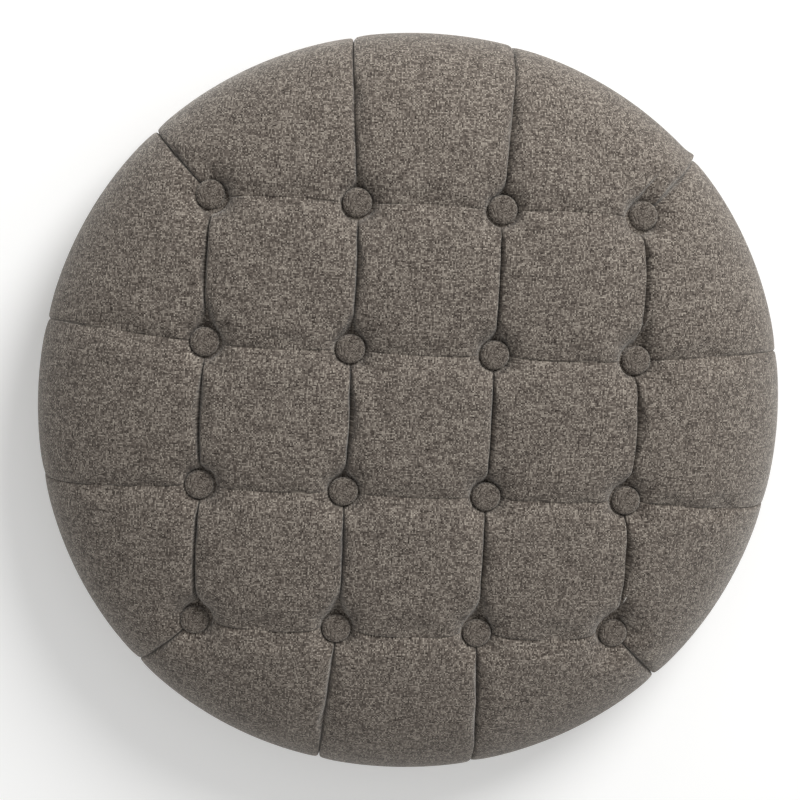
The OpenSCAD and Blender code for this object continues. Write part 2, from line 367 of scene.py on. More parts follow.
class FlatCloth:
    """The cover's mesh laid flat: a grid inside the outer buttons, and rings round it.

    A point's flat distance from the middle is its distance along the cloth. Near a button the
    mesh lines are drawn into rings round it."""

    def __init__(self, run_line):
        self.run_line = run_line
        self.run_rim = run_line[0][np.argmax(run_line[1])]
        self.run_seam = run_line[0][-1] - SEAM_TOP
        lines = cell_lines()
        self.count = len(lines)
        self.seats = {place: self.develop(np.array(foot.xy)) for place, foot in BUTTON_FEET.items()}

        col, row = [c.ravel() for c in np.meshgrid(lines, lines, indexing="ij")]
        x = (col - GRID_MIDDLE) * PITCH + self.bow(COLUMN_BOW, col, row)
        y = (GRID_MIDDLE - row) * PITCH + self.bow(ROW_BOW, row, col)
        inner = self.develop(np.stack([x, y], -1))
        near_col, near_row = np.rint(col).astype(int), np.rint(row).astype(int)
        reach = np.maximum(abs(col - near_col), abs(row - near_row)) * PITCH
        centres = np.array([self.seats[r, c] for r, c in zip(near_row, near_col)])
        inner = self.ringed(inner, centres, reach)

        # The loop round the outer buttons runs back, left, front, right.
        last = self.count - 1
        side = np.arange(last)
        loop_col = np.concatenate([last - side, 0 * side, side, 0 * side + last])
        loop_row = np.concatenate([0 * side, side, 0 * side + last, last - side])
        self.loop = loop_col * self.count + loop_row
        along = np.concatenate([lines[:-1] + k * (GRID_SIZE - 1) for k in range(4)])
        self.angle = self.rim_angle(along)
        start = inner[self.loop]
        to_rim = unit(self.angle) * self.run_rim - start
        gap = np.linalg.norm(to_rim, axis=1, keepdims=True)
        near = np.rint(along).astype(int)
        from_button = abs(along - near) * PITCH
        corner_cols = np.rint(lines[loop_col]).astype(int)
        corner_rows = np.rint(lines[loop_row]).astype(int)
        centres = np.array([self.seats[r, c] for r, c in zip(corner_rows, corner_cols)])
        rings = []
        close = HALF_CELL[1:]
        for out in close:
            ring = start + to_rim / gap * out
            rings.append(self.ringed(ring, centres, np.maximum(from_button, out)))
        for k in range(1, OUTER_RINGS + 1):
            out = close[-1] + (gap - close[-1]) * k / OUTER_RINGS
            rings.append(start + to_rim / gap * out)
        self.crown_rings = len(rings)
        down = np.concatenate([
            np.linspace(self.run_rim, self.run_seam, UNDER_RINGS + 1)[1:],
            np.linspace(self.run_seam, run_line[0][-1], HEM_RINGS + 1)[1:]])
        rings += [unit(self.angle) * run for run in down]
        self.rings = len(rings)
        self.seam_ring = self.crown_rings + UNDER_RINGS
        self.inner_count = len(inner)
        self.flat = np.concatenate([inner] + rings)

    def develop(self, place):
        """Place on the flattened cloth of a place seen from above."""
        radius = np.linalg.norm(place, axis=-1, keepdims=True)
        top = np.argmax(self.run_line[1]) + 1
        run = np.interp(radius, self.run_line[1][:top], self.run_line[0][:top])
        return place / np.maximum(radius, TINY) * run

    @staticmethod
    def bow(bows, line, along):
        return np.interp(line, np.arange(GRID_SIZE), bows) * np.abs(np.sin(np.pi * along))

    @staticmethod
    def ringed(points, centres, reach):
        """Draws the square rings of mesh round a button into circles."""
        off = points - centres
        distance = np.maximum(np.linalg.norm(off, axis=1), TINY)
        weight = 1 - smooth_step(reach, SEAT_STOPS[2], SEAT_STOPS[-1])
        factor = 1 + weight * (reach / distance - 1)
        return np.where(reach[:, None] > 0, centres + off * factor[:, None], points)

    def rim_angle(self, along):
        """Angle at which each mesh line crosses the rim, round the four sides."""
        side, part = np.divmod(along, GRID_SIZE - 1)
        spread = np.linspace(-FAN, FAN, GRID_SIZE - 2) if GRID_SIZE > 3 else np.zeros(1)
        marks = np.array([math.radians(45), *(math.pi / 2 + spread), math.radians(135)])
        return np.interp(part, np.arange(GRID_SIZE), marks) + side * math.pi / 2

    def ring_point(self, ring, index):
        index = index % len(self.loop)
        return self.loop[index] if ring == 0 else self.inner_count + (ring - 1) * len(self.loop) + index

    def faces(self, rings):
        """Quads that face up and out, and the outer panel that each lies in, or -1 inside."""
        quads, panels = [], []
        for i in range(self.count - 1):
            for j in range(self.count - 1):
                a = i * self.count + j
                quads.append((a, a + 1, a + self.count + 1, a + self.count))
                panels.append(-1)
        for ring in range(rings):
            for k in range(len(self.loop)):
                quads.append((self.ring_point(ring, k), self.ring_point(ring + 1, k),
                              self.ring_point(ring + 1, k + 1), self.ring_point(ring, k + 1)))
                panels.append(k // CELL_STEPS)
        return [tuple(int(v) for v in quad) for quad in quads], panels

    def pleats(self):
        """Every pleat as (kind, side that slopes, points). The side is 1 to the left of the
        pleat's own direction, -1 to the right, and 0 where both sides are alike."""
        steps = np.arange(CELL_STEPS + 1)
        out = []
        for line in range(GRID_SIZE):
            for cell in range(GRID_SIZE - 1):
                run = cell * CELL_STEPS + steps
                out.append(("long", 1, line * CELL_STEPS * self.count + run))
                out.append(("cross", 1, run * self.count + line * CELL_STEPS))
        sides = [("outer long", -1), ("outer cross", -1), ("outer long", 1), ("outer cross", 1)]
        for number, (kind, slope) in enumerate(sides):
            for k in range(GRID_SIZE - 1):
                index = (number * (GRID_SIZE - 1) + k) * CELL_STEPS
                run = np.array([self.ring_point(ring, index) for ring in range(self.seam_ring + 1)])
                out.append((kind, slope, run) if k else ("corner", 0, run))
        return out

    def weave_places(self, quads, panels):
        """Place of each face corner on the cloth's own weave. Cloth that the round shape has no
        room for is folded away in the pleats, so each outer panel keeps its thread spacing."""
        panel = np.array(panels)[:, None]
        place = self.flat[np.array(quads)]
        run = np.linalg.norm(place, axis=2)
        theta = np.arctan2(place[..., 1], place[..., 0])
        edges = np.append(self.angle[::CELL_STEPS], self.angle[0] + 2 * math.pi)
        middle = (edges[panel] + edges[panel + 1]) / 2
        off = (theta - middle + math.pi) % (2 * math.pi) - math.pi
        radius = np.interp(run, self.run_line[0], self.run_line[1])
        turned_to = middle + off * radius / np.maximum(run, TINY)
        return np.where(panel[..., None] < 0, place, unit(turned_to) * run[..., None])


def chain_distance(points, chain):
    """Distance of each point from a chain of points, the share of the chain's length at the
    nearest place, and the side: 1 is to the left of the chain's own direction."""
    best = np.full(len(points), np.inf)
    along, side = np.zeros(len(points)), np.ones(len(points))
    lengths = np.linalg.norm(np.diff(chain, axis=0), axis=1)
    runs = run_along(chain)
    for k, (p, q) in enumerate(zip(chain[:-1], chain[1:])):
        d = q - p
        t = np.clip(((points - p) @ d) / (d @ d), 0, 1)
        off = points - (p + t[:, None] * d)
        distance = np.linalg.norm(off, axis=1)
        near = distance < best
        best[near] = distance[near]
        along[near] = (runs[k] + t[near] * lengths[k]) / runs[-1]
        side[near] = np.sign(d[0] * off[near, 1] - d[1] * off[near, 0])
    return best, along, side


def shoulder(distance, width):
    """From 1 on a pleat to 0 at its width, with the round shoulder of well-filled cloth."""
    t = np.clip(1 - distance / width, 0, 1)
    return 1 - np.sqrt(1 - t ** 2)


# Each kind of pleat: depth half way along it or at the rim, depth at a button as a share of the
# tuft's, width of its sloping side and of its lip side, depth of the slit where the cloth turns
# under, and how far the lip laps over the slit. In millimetres.
PLEATS = {
    "long": (2.8, 0.65, 22, 10, 7.5, 0.3),
    "cross": (3.0, 0.55, 34, 26, 0.8, 0.1),
    "outer long": (0.8, 0.60, 18, 8, 4.5, 0.3),
    "outer cross": (0.6, 0.45, 26, 20, 0.9, 0.1),
    "corner": (1.4, 0.80, 16, 16, 3.5, 0.0),
}
SLIT_WIDTH = 0.5 * MM
MOAT_WIDTH = 1.5 * MM  # gap between a button and the cloth that stands round it
MOAT_DEPTH = 1.5 * MM  # how far the gap goes down below the button's seat
MOAT_INSET = 2 * MM  # how far the gap reaches in under the button's edge
QUIET_WIDTH = 3 * MM  # slits start this far from a button
INNER_END, OUTER_END, CORNER_END = 3, 2.5, 5  # how late a pleat deepens towards its button
FADE_FROM, FADE_TO = 0.6, 0.95  # shares of its length between which an outer pleat runs out
BLEND = 3  # how sharply slopes meet: 1 adds them up, and more keeps to the deeper one

# Behind each button its pleat opens into a pocket, larger at some buttons than at others. The
# size of each as a share of the largest, in rows from the back, from left to right.
POCKET_SHARES = ((0.3, 0.6, 0.5, 0.9), (0.9, 0.7, 0.6, 1.0),
                 (0.3, 0.5, 0.4, 0.6), (0.6, 0.9, 1.0, 0.9))
POCKET_LENGTH = 26 * MM
POCKET_HALF_WIDTH = 10 * MM
POCKET_DEPTH = 4.5 * MM  # how far the pocket goes down below the button's seat
POCKET_LEANS = (0.0, 0.0, 0.1, 0.45)  # how far each column's pockets lean to the right
POCKET_TAPER = 1.4  # how fast a pocket narrows away from its button
POCKET_WALL = 0.2  # how steep its walls are; less is steeper
TUCK_EDGE, TUCK_WIDTH = 3 * MM, 11 * MM  # the fold of spare cloth falls away between these
TUCK_RUN = 9 * MM  # how far up and down the side it reaches


def pocket_depth(cloth, shape):
    """Depth of each point in the pockets behind the buttons, and 0 outside them."""
    depth = np.zeros(len(cloth.flat))
    for (row, column), seat in cloth.seats.items():
        portion = POCKET_SHARES[row][column]
        away = cloth.flat - seat
        behind = away[:, 1] - BUTTON_RADIUS
        open_part = np.clip(1 - behind / (POCKET_LENGTH * portion), TINY, 1)
        half = POCKET_HALF_WIDTH * (0.4 + 0.6 * portion) * open_part ** POCKET_TAPER
        aside = away[:, 0] - POCKET_LEANS[column] * np.maximum(behind, 0)
        into = np.clip(1 - np.abs(aside) / half, 0, 1) * (behind > -BUTTON_RADIUS / 2)
        deepest = (shape.tuft_depth + POCKET_DEPTH) * np.sqrt(open_part)
        depth = np.maximum(depth, deepest * into ** POCKET_WALL)
    return depth


def tuft_relief(cloth, shape):
    """Depth of each point below the untufted form, and its shift on the flat cloth."""
    points = cloth.flat
    total = np.zeros(len(points))
    slit = np.zeros(len(points))
    moat = np.zeros(len(points))
    shift = np.zeros((len(points), 2))
    for kind, slope, chain in cloth.pleats():
        low, end_share, wide, narrow, slit_depth, lap = PLEATS[kind]
        distance, along, side = chain_distance(points, points[chain])
        if kind in ("long", "cross"):
            end = abs(2 * along - 1) ** INNER_END
            fade = np.ones(len(points))
        else:
            end = (1 - along) ** (CORNER_END if kind == "corner" else OUTER_END)
            fade = 1 - smooth_step(along, FADE_FROM, FADE_TO)
        depth = (low * fade * MM) + (end_share * shape.tuft_depth - low * fade * MM) * end
        width = np.where(side == slope, wide, narrow) * MM
        total += (depth * shoulder(distance, width)) ** BLEND
        slit = np.maximum(slit, slit_depth * MM * fade * np.exp(-(distance / SLIT_WIDTH) ** 2))
        # The lip side leans over the slit, and the slit's bottom slips under the lip.
        across = np.gradient(points[chain], axis=0)
        across = np.stack([-across[:, 1], across[:, 0]], 1) * slope
        across /= np.maximum(np.linalg.norm(across, axis=1, keepdims=True), TINY)
        shift[chain] -= across * (lap * MM * fade[chain])[:, None]
    for seat in cloth.seats.values():
        distance = np.linalg.norm(points - seat, axis=1) - BUTTON_RADIUS
        total += (shape.tuft_depth * shoulder(np.maximum(distance - MOAT_WIDTH, 0),
                                              shape.tuft_width)) ** BLEND
        moat = np.maximum(moat, MOAT_DEPTH * (distance > -MOAT_INSET) * (distance < MOAT_WIDTH))
        quiet = smooth_step(distance, 0, QUIET_WIDTH)
        slit *= quiet
        shift *= quiet[:, None]
    depth = np.minimum(total ** (1 / BLEND) + slit, shape.tuft_depth) + moat
    return np.maximum(depth, pocket_depth(cloth, shape)), shift


def tuck_rise(cloth, shape):
    """Height of the fold of spare cloth that stands proud on the back right rim."""
    for kind, _, chain in cloth.pleats():
        first = cloth.flat[chain[0]]
        if kind == "corner" and first[0] > 0 and first[1] > 0:
            distance, _, side = chain_distance(cloth.flat, cloth.flat[chain])
            run = np.linalg.norm(cloth.flat, axis=1)
            across = smooth_step(distance, TUCK_WIDTH, TUCK_EDGE) * (side > 0) * (distance > TINY)
            return shape.tuck * across * np.exp(-((run - cloth.run_rim) / TUCK_RUN) ** 2)
    return 0.0


GATHER_COUNT = 96  # gathers round the base seam
GATHER_SPREAD, GATHER_STEP = 24, 3  # waves either side of that count, and the step between them
HELD_WIDTH = 3 * MM  # strip along the seam in which pleats and gathers die out
BULGE_WIDTH = 90 * MM  # how far in from the rim the corner bulge starts
SLOPE_STEP = 1 * MM  # half the run over which the outline's slope is taken


def gathers(angle, rng):
    """Uneven small waves round the base seam, from -1 to 1."""
    waves = sum(rng.uniform(0.4, 1) * np.cos(k * angle + rng.uniform(0, 2 * math.pi))
                for k in range(GATHER_COUNT - GATHER_SPREAD, GATHER_COUNT + GATHER_SPREAD,
                               GATHER_STEP))
    return waves / np.abs(waves).max()


def cover_points(cloth, shape):
    """Points of the tufted cover's outer face."""
    depth, shift = tuft_relief(cloth, shape)
    place = cloth.flat + shift
    run = np.linalg.norm(place, axis=1)
    angle = np.arctan2(place[:, 1], place[:, 0])
    runs, radii, heights = cloth.run_line
    before, base, after = (
        np.stack([np.interp(run + d, runs, radii), np.interp(run + d, runs, heights)], 1)
        for d in (-SLOPE_STEP, 0, SLOPE_STEP))
    out = after - before
    out = np.stack([-out[:, 1], out[:, 0]], 1) / np.linalg.norm(out, axis=1, keepdims=True)

    rim = cloth.run_rim
    under = smooth_step(run, rim, cloth.run_seam)
    held = 1 - smooth_step(run, cloth.run_seam - HELD_WIDTH, cloth.run_seam)
    pucker = gathers(angle, np.random.default_rng(4)) * shape.pucker * under * held
    bulge = shape.corner_bulge * (0.5 - 0.5 * np.cos(4 * angle))
    bulge = bulge * smooth_step(run, rim - BULGE_WIDTH, rim) * (1 - under) + tuck_rise(cloth, shape)
    rise = pucker + bulge - depth * held
    section = base + out * rise[:, None]
    across = unit(angle) * section[:, :1]
    return np.column_stack([across, np.maximum(section[:, 1], 0)])


# How the cloth behaves while it is filled. A negative shrink lets it grow.
FILL_FRAMES = 14
FILLING = {"quality": 5, "mass": 0.15, "tension_stiffness": 20, "compression_stiffness": 20,
           "shear_stiffness": 8, "bending_stiffness": 1, "air_damping": 4,
           "vertex_group_mass": "pinned", "shrink_min": -0.012, "use_pressure": True,
           "uniform_pressure_force": 3}
STILL = 1e-9  # shortest move that counts
PINNED_MARGIN = 2 * MM  # cloth this near to a button or to the floor doesn't move


def fill_out(piece, pinned, furthest):
    """Fills the soft shell out by cloth simulation under pressure, with its pleats and seats
    pinned. No point moves further than the limit."""
    before = points_of(piece.data)
    group = piece.vertex_groups.new(name="pinned")
    group.add(np.flatnonzero(pinned).tolist(), 1.0, "REPLACE")
    modifier = piece.modifiers.new("Filling", "CLOTH")
    settings = modifier.settings
    for name, value in FILLING.items():
        setattr(settings, name, value)
    settings.effector_weights.gravity = 0
    modifier.point_cache.frame_start = 1
    modifier.point_cache.frame_end = FILL_FRAMES
    for step in range(1, FILL_FRAMES + 1):
        bpy.context.scene.frame_set(step)
    after = points_of(piece.evaluated_get(bpy.context.evaluated_depsgraph_get()).data)
    piece.modifiers.remove(modifier)
    piece.vertex_groups.clear()
    bpy.context.scene.frame_set(1)
    moved = after - before
    distance = np.maximum(np.linalg.norm(moved, axis=1, keepdims=True), STILL)
    moved *= furthest * np.tanh(distance / furthest) / distance
    placed = before + moved
    placed[:, 2] = np.maximum(placed[:, 2], 0)
    set_points(piece.data, placed)


def filled_form():
    """The cover's outer face as a plain mesh piece, tufted and filled out. Made once, and then
    copied by the pieces that lie inside it."""
    mesh = bpy.data.meshes.get("filled form")
    shape = bpy.context.scene.cushion_shape
    cloth = FlatCloth(outline(shape))
    if mesh is None:
        quads, panels = cloth.faces(cloth.rings)
        piece = mesh_piece("filled form", cover_points(cloth, shape), quads)
        points = points_of(piece.data)
        pinned = np.zeros(len(points), bool)
        for _, _, chain in cloth.pleats():
            pinned[chain] = True
        for foot in BUTTON_FEET.values():
            away = np.hypot(points[:, 0] - foot.x, points[:, 1] - foot.y)
            pinned |= (away < BUTTON_RADIUS + PINNED_MARGIN) & (points[:, 2] > HEIGHT / 2)
        pinned |= pocket_depth(cloth, shape) > 0
        pinned |= points[:, 2] < PINNED_MARGIN
        pinned[cloth.ring_point(cloth.seam_ring, 0):] = True
        fill_out(piece, pinned, shape.furthest)
        mesh = piece.data
        mesh.use_fake_user = True
        bpy.data.objects.remove(piece)
    return cloth, mesh


# ---- materials ----


class Look:
    """A material while it is built. Its methods add nodes, and give the outputs to link on."""

    def __init__(self, name):
        self.material = bpy.data.materials.new(name)
        self.material.use_nodes = True
        self.tree = self.material.node_tree
        self.tree.nodes.clear()

    def add(self, kind, inputs=None, output=0, **settings):
        """Adds a node and gives one output. Each input is a value, or an output to link."""
        made = self.tree.nodes.new(kind)
        for name, value in settings.items():
            setattr(made, name, value)
        for key, value in (inputs or {}).items():
            if isinstance(value, bpy.types.NodeSocket):
                self.tree.links.new(value, made.inputs[key])
            else:
                made.inputs[key].default_value = value
        return made.outputs[output]

    def maths(self, operation, *values):
        return self.add("ShaderNodeMath", dict(enumerate(values)), operation=operation)

    def vector(self, operation, *values):
        return self.add("ShaderNodeVectorMath", dict(enumerate(values)), operation=operation)

    def place(self):
        return self.add("ShaderNodeTexCoord", output="Object")

    def noise(self, place, scale, output=0, **more):
        return self.add("ShaderNodeTexNoise", {"Vector": place, "Scale": scale, **more}, output)

    def range(self, pattern, low, high, full=1.0):
        """A pattern that runs from 0 to full, as values from low to high."""
        return self.add("ShaderNodeMapRange", {0: pattern, 2: full, 3: low, 4: high})

    def mix(self, factor, first, second):
        return self.add("ShaderNodeMix", {0: factor, 2: first, 3: second}, data_type="FLOAT")

    def tinted(self, shade, tone):
        """A colour made darker and lighter by a tone."""
        shade = shade if isinstance(shade, bpy.types.NodeSocket) else (*shade, 1)
        return self.add("ShaderNodeMix", {0: 1.0, 6: shade, 7: tone}, 2, data_type="RGBA",
                        blend_type="MULTIPLY")

    def bump(self, pattern, strength, distance, **more):
        return self.add("ShaderNodeBump", {"Height": pattern, "Strength": strength,
                                           "Distance": distance, **more})

    def finish(self, base, normal, roughness, more=None):
        """Links the shader up and gives the finished material."""
        shader = self.add("ShaderNodeBsdfPrincipled", {
            "Base Color": base, "Normal": normal, "Roughness": roughness, **(more or {})})
        output = self.tree.nodes.new("ShaderNodeOutputMaterial")
        self.tree.links.new(shader, output.inputs["Surface"])
        return self.material


MELANGE_STOPS = (0.26, 0.50, 0.76)  # tones of the dark, middle and light fibre
SLUB_WARP, SLUB_WEFT = 6.0, 10.0  # length of a slub, in threads
FLECK, FIBRE, CLOUD = 0.33, 0.15, 0.14  # strength of fleck, loose fibre and a wide mottle of tone


def woven_cloth(name, dark, middle, light, spacing):
    """Plain weave of thick melange yarn, spun from light and dark fibre: matt, with a
    salt-and-pepper fleck, short slubs along the threads, and a pale haze at a low angle. The
    colour is painted darker towards the edges of each yarn, as the shade in the gaps between yarns."""
    look = Look(name)
    maths = look.maths
    place = look.add("ShaderNodeUVMap", uv_map="Weave")
    wander = look.noise(place, 90.0, "Color", Detail=1.0)
    drift = look.vector("SUBTRACT", wander, (0.5, 0.5, 0.5))
    threads = look.vector("MULTIPLY", place, (1 / spacing, 1 / spacing, 0.0))
    shifted = look.vector("MULTIPLY_ADD", drift, (1.2, 1.2, 0.0), threads)
    u = look.add("ShaderNodeSeparateXYZ", {0: shifted})
    v = u.node.outputs[1]
    warp, weft = maths("FLOOR", u), maths("FLOOR", v)

    def yarn_tone(thread, along, reach, seed):
        """Tone of one set of yarns, in slubs that are some threads long."""
        spot = look.add("ShaderNodeCombineXYZ", {0: maths("MULTIPLY", thread, 7.31),
                                                 1: maths("DIVIDE", along, reach), 2: seed})
        return look.noise(spot, 1.0, Detail=1.0, Roughness=0.6)

    turn = maths("FRACT", maths("MULTIPLY", maths("ADD", warp, weft), 0.5))
    on_top = maths("GREATER_THAN", turn, 0.25)
    tone = look.mix(on_top, yarn_tone(weft, u, SLUB_WEFT, 11.3),
                    yarn_tone(warp, v, SLUB_WARP, 3.7))
    tone = maths("MULTIPLY_ADD", tone, 0.5, 0.25)
    cell = look.add("ShaderNodeCombineXYZ", {0: warp, 1: weft})
    fleck = look.add("ShaderNodeTexWhiteNoise", {"Vector": cell}, noise_dimensions="2D")
    tone = maths("MULTIPLY_ADD", maths("SUBTRACT", fleck, 0.5), FLECK, tone)
    fibre = look.noise(shifted, 2.5, Detail=2.0, Roughness=0.7)
    tone = maths("MULTIPLY_ADD", maths("SUBTRACT", fibre, 0.5), FIBRE, tone)
    melange = look.add("ShaderNodeValToRGB", {0: tone})
    ramp = melange.node.color_ramp
    ramp.elements.new(0.5)
    for element, at, shade in zip(ramp.elements, MELANGE_STOPS, (dark, middle, light)):
        element.position = at
        element.color = (*shade, 1)

    def back(value, fall):
        """Round back of a yarn: 1 in its middle, lower at its edges."""
        off = maths("SUBTRACT", maths("FRACT", value), 0.5)
        return maths("MULTIPLY_ADD", maths("MULTIPLY", off, off), -4 * fall, 1.0)

    height = look.mix(on_top, maths("MULTIPLY", back(v, 1.0), back(u, 0.6)),
                      maths("MULTIPLY", back(u, 1.0), back(v, 0.6)))
    cloud = look.noise(place, 24.0, Detail=2.0)
    # The yarn's height also darkens its colour towards its edges: painted shade in the gaps between
    # yarns. The cloud is a wide mottle of the cloth's own tone.
    shade = maths("MULTIPLY", maths("MULTIPLY_ADD", height, 0.60, 0.60),
                  maths("MULTIPLY_ADD", cloud, CLOUD, 0.93))
    grey = look.add("ShaderNodeCombineColor", {0: shade, 1: shade, 2: shade})
    relief = maths("MULTIPLY_ADD", fibre, 0.4, height)
    return look.finish(look.tinted(melange, grey), look.bump(relief, 0.8, 0.3 * MM), 0.92, {
        "IOR": 1.45, "Specular IOR Level": 0.2, "Sheen Weight": 0.6, "Sheen Roughness": 0.4,
        "Sheen Tint": (0.78, 0.76, 0.72, 1)})


def wadding_material(shade):
    """Bonded polyester wadding: white, lofty and matt, with loose crossing fibres, and painted darker
    in the hollows of its loft as shade.
    """
    look = Look("bonded polyester wadding")
    place = look.place()
    tufts = look.noise(place, 60.0, Detail=4.0)
    strands = look.noise(place, 700.0, Detail=2.0, Distortion=2.5)
    soft = look.bump(tufts, 0.6, 3 * MM)
    # The tufts that raise the loft also lighten its colour, so its hollows carry painted shade.
    return look.finish(look.tinted(shade, look.range(tufts, 0.82, 1.06)),
                       look.bump(strands, 0.7, 0.4 * MM, Normal=soft), 0.95,
                       {"Sheen Weight": 0.3, "Sheen Roughness": 0.5})


def foam_material(shade):
    """Open-cell polyurethane foam, cut with a wire: matt, with cells about a millimetre wide, painted
    darker in their hollows as shade.
    """
    look = Look("open-cell polyurethane foam")
    place = look.place()
    cells = look.add("ShaderNodeTexVoronoi", {"Vector": place, "Scale": 1 / (1.2 * MM)}, "Distance")
    aged = look.noise(place, 9.0, Detail=3.0)
    # Each cell's colour is darker towards its middle, where the bump sinks: painted shade in the open
    # cells. The wider noise is the foam's own ageing.
    tone = look.maths("MULTIPLY", look.range(cells, 0.72, 1.05, 0.8), look.range(aged, 0.9, 1.06))
    return look.finish(look.tinted(shade, tone), look.bump(cells, 0.8, 0.5 * MM), 0.9, {"IOR": 1.5})


def metal_material(name, shade, roughness, grain, lines):
    """Plain metal. grain is the size of its marks, and lines draws them out round the piece."""
    look = Look(name)
    stretched = look.add("ShaderNodeMapping", {"Vector": look.place(), "Scale": (1, 1, lines)})
    marks = look.noise(stretched, 1 / grain, Detail=3.0)
    return look.finish(look.tinted(shade, look.range(marks, 0.85, 1.1)),
                       look.bump(marks, 0.3, 0.02 * MM),
                       look.range(marks, roughness - 0.08, roughness + 0.1), {"Metallic": 1.0})


def washer_material(shade):
    """Moulded natural polyethylene: milky, waxy, with faint flow marks from the mould."""
    look = Look("moulded polyethylene")
    flow = look.noise(look.place(), 180.0, Distortion=1.5)
    return look.finish(look.tinted(shade, look.range(flow, 0.93, 1.03)),
                       look.bump(flow, 0.2, 0.05 * MM), 0.42,
                       {"IOR": 1.51, "Subsurface Weight": 0.15, "Subsurface Scale": 1 * MM})


def twisted_material(name, shade, turn, gloss):
    """Twisted thread or twine: plies that wind round, one turn in the given length, with the colour
    painted darker in the grooves between plies as shade.
    """
    look = Look(name)
    plies = look.add("ShaderNodeTexWave", {
        "Vector": look.place(), "Scale": math.pi / (10 * turn), "Distortion": 1.0,
        "Detail": 1.0}, bands_direction="DIAGONAL")
    # The wave's first output is its colour. It darkens the colour in the grooves between the plies, as
    # painted shade.
    return look.finish(look.tinted(shade, look.range(plies, 0.65, 1.1)),
                       look.bump(plies, 0.8, 0.15 * MM), gloss, {"Sheen Weight": 0.15})


def floor_material(shade):
    """Matt painted board: almost even, with the faint grain of a roller."""
    look = Look("matt painted board")
    grain = look.noise(look.place(), 300.0, Detail=3.0)
    return look.finish((*shade, 1), look.bump(grain, 0.1, 0.2 * MM), 0.85,
                       {"Emission Color": (*shade, 1), "Emission Strength": 0.2})


# ---- operators, one for each piece or group of like pieces ----


KEY_PLACE, KEY_SIZE = (1.1, 1.9, 1.6), 1.3  # a large soft light, on the right and to the back
VIEW_TURNS = (-3.1, 8.8, 4.6)  # turn, tilt back and tilt aside of the cushion in the view, degrees
VIEW_PLACE = (0.034, -0.0276, -5.0)  # the cushion's place before the camera, in its own radii
VIEW_LENS = 83.2


class CUSHION_OT_stage(bpy.types.Operator):
    """Set up the floor, the lights and the camera"""

    bl_idname = "cushion.stage"
    bl_label = "Stage"

    def execute(self, context):
        look = context.scene.cushion_stage
        deselect()
        bpy.ops.mesh.primitive_plane_add(size=30 * RADIUS, location=(0, 0, 0))
        floor = context.object
        floor.name = "floor"
        floor.data.materials.append(floor_material(look.floor))

        world = bpy.data.worlds.new("soft room")
        world.use_nodes = True
        world.node_tree.nodes["Background"].inputs[0].default_value = (1.0, 1.0, 1.0, 1)
        world.node_tree.nodes["Background"].inputs[1].default_value = look.fill
        context.scene.world = world

        deselect()
        bpy.ops.object.light_add(type="AREA", location=KEY_PLACE)
        key = context.object
        key.name = "key_light"
        key.data.energy = look.key
        key.data.shape = "DISK"
        key.data.size = KEY_SIZE
        key.rotation_euler = (-key.location).to_track_quat("-Z", "Y").to_euler()

        # The camera looks almost straight down.
        roll, tilt_back, tilt_side = (math.radians(a) for a in VIEW_TURNS)
        turn = (Matrix.Rotation(roll, 3, "Z") @ Matrix.Rotation(tilt_back, 3, "X")
                @ Matrix.Rotation(tilt_side, 3, "Y")).transposed()
        distance = Vector(VIEW_PLACE) * RADIUS
        place = turn @ -distance
        place.z += context.scene.cushion_shape.side_height
        bpy.ops.object.camera_add(location=place, rotation=turn.to_euler())
        camera = context.object
        camera.name = "view"
        camera.data.lens = VIEW_LENS
        context.scene.camera = camera
        context.scene.view_settings.view_transform = "Standard"
        return {"FINISHED"}


class CUSHION_OT_cover(bpy.types.Operator):
    """Build the tufted cover"""

    bl_idname = "cushion.cover"
    bl_label = "Top cover"

    def execute(self, context):
        cloth, form = filled_form()
        thickness = context.scene.cushion_shape.cloth
        quads, panels = cloth.faces(cloth.rings)
        skin = mesh_piece("cover inside", points_of(form) - normals_of(form) * thickness,
                          [quad[::-1] for quad in quads])
        piece = mesh_piece("top_cover_cloth", points_of(form), quads)
        weave = piece.data.uv_layers.new(name="Weave")
        weave.data.foreach_set("uv", cloth.weave_places(quads, panels).ravel())
        pleated = set()
        for _, _, chain in cloth.pleats():
            line = chain.tolist()
            pleated |= {tuple(sorted(pair)) for pair in zip(line[:-1], line[1:])}
        crease = piece.data.attributes.new("crease_edge", "FLOAT", "EDGE")
        for edge in piece.data.edges:
            if tuple(sorted(edge.vertices)) in pleated:
                crease.data[edge.index].value = 0.8
        smooth = piece.modifiers.new("Smooth", "SUBSURF")
        smooth.levels = smooth.render_levels = 1
        smooth.uv_smooth = "NONE"
        apply_modifiers(piece)
        piece = join([piece, skin], "top_cover_cloth")
        with edit_mode("DESELECT"):
            bpy.ops.mesh.select_mode(type="EDGE")
            bpy.ops.mesh.select_non_manifold()
            bpy.ops.mesh.bridge_edge_loops()
        look = context.scene.cushion_cloth
        melange = woven_cloth("woven melange upholstery cloth", look.dark, look.middle,
                              look.light, look.thread_spacing)
        finish_piece(piece, "cover_cloth", melange, "top_cover")
        piece.data.shade_smooth()
        return {"FINISHED"}


BUTTON_CLOTH = 0.9 * MM  # the cloth is drawn thin over a button
BUTTON_TUCK = 2.8 * MM  # how far in from its edge the cloth is turned under
BUTTON_WAIST = 1.6 * MM  # height of its widest part
DOME_POWER = 2 / 2.7


